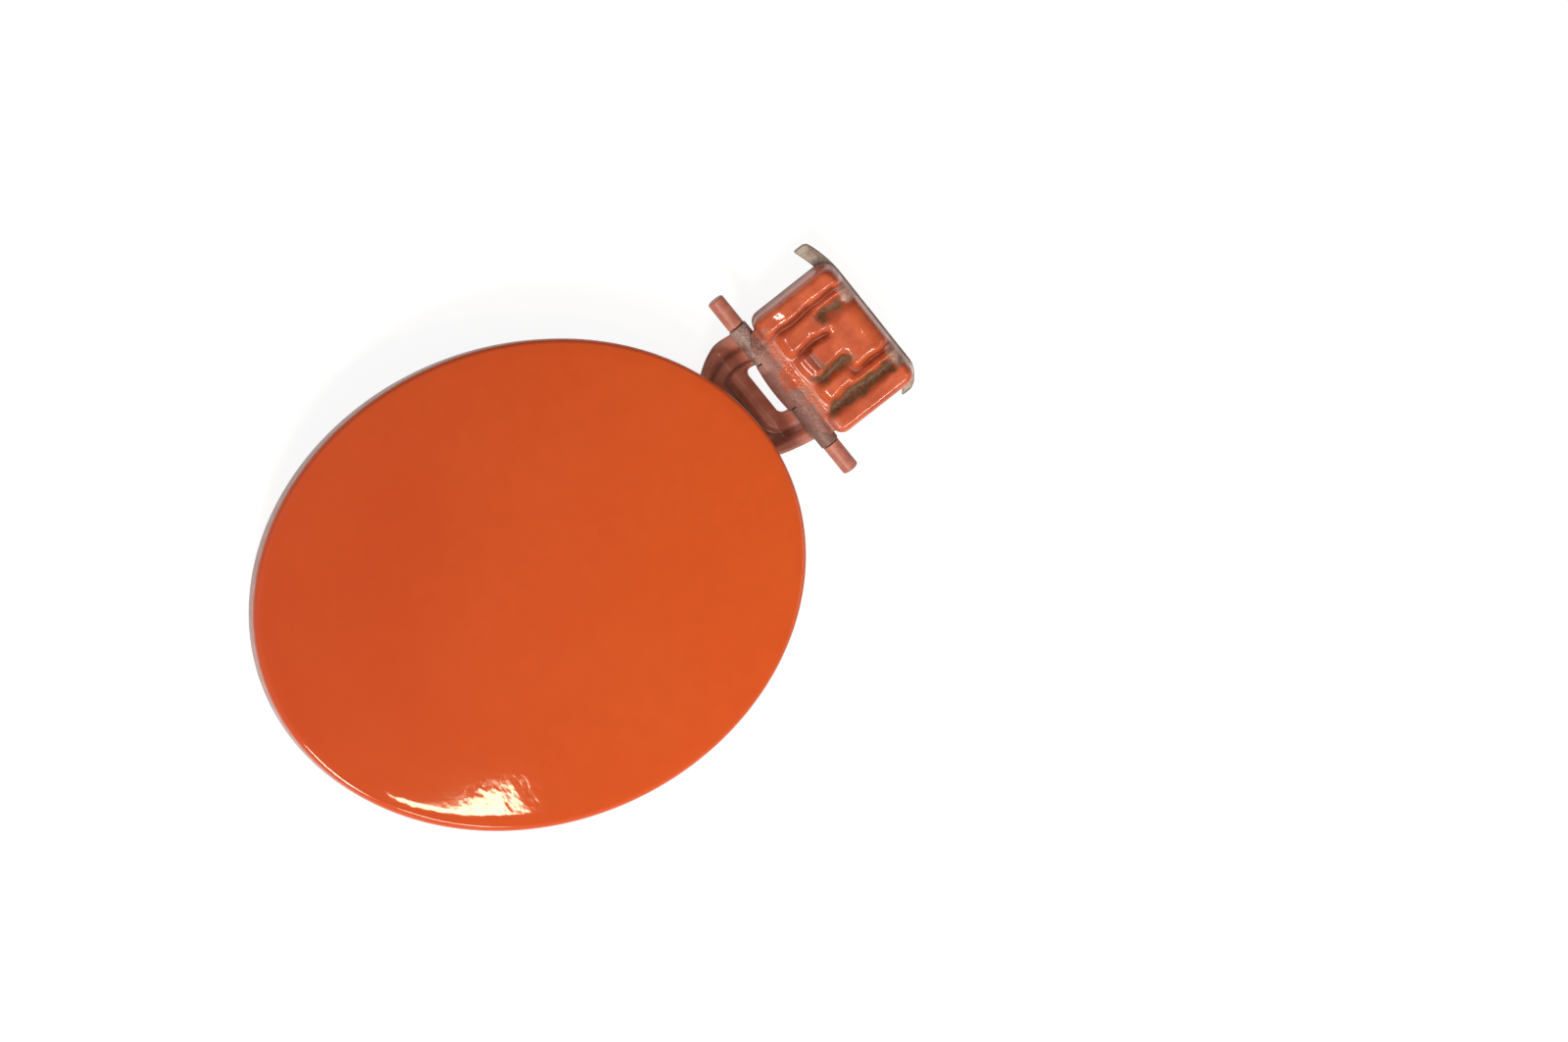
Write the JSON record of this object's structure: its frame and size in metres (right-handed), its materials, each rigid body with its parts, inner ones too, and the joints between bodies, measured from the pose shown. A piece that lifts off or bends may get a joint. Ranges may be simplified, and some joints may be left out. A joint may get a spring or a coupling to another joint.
{
  "type": "fuel filler door with hinge arm and bracket",
  "caption": "Oval painted steel fuel filler door on a pressed hinge arm that turns on a pin in a pressed body bracket.",
  "frame": {"origin": "middle of the hinge pin's axis", "axes": "+X from the door to the hinge bracket, +Y along the hinge pin, +Z out of the shut door's painted face"},
  "size_m": [0.2181, 0.1476, 0.0292],
  "materials": {
    "orange_paint": "glossy clear-coated orange",
    "bracket_paint": "glossy orange, thin and dirty in the grooves",
    "thin_paint": "thin satin overspray on primer",
    "worn_paint": "rough speckled overspray",
    "bare_steel": "dull grey-beige coating",
    "rubber": "matt black"
  },
  "bodies": {
    "bracket": {"hinge_bracket": "bracket_paint", "hinge_pin": "worn_paint", "pin_bush_upper": "worn_paint", "pin_bush_lower": "worn_paint", "retainer_strip": "bare_steel"},
    "door": {"door_skin": "orange_paint", "inner_panel": "thin_paint", "hinge_arm": "thin_paint", "lock_striker": "bare_steel", "buffer_upper": "rubber", "buffer_lower": "rubber"}
  },
  "joints": [
    {"name": "door_hinge", "type": "hinge", "parent": "bracket", "child": "door", "pos_m": [0, 0, 0], "axis": [0, 1, 0], "range_deg": [0, 95]}
  ]
}
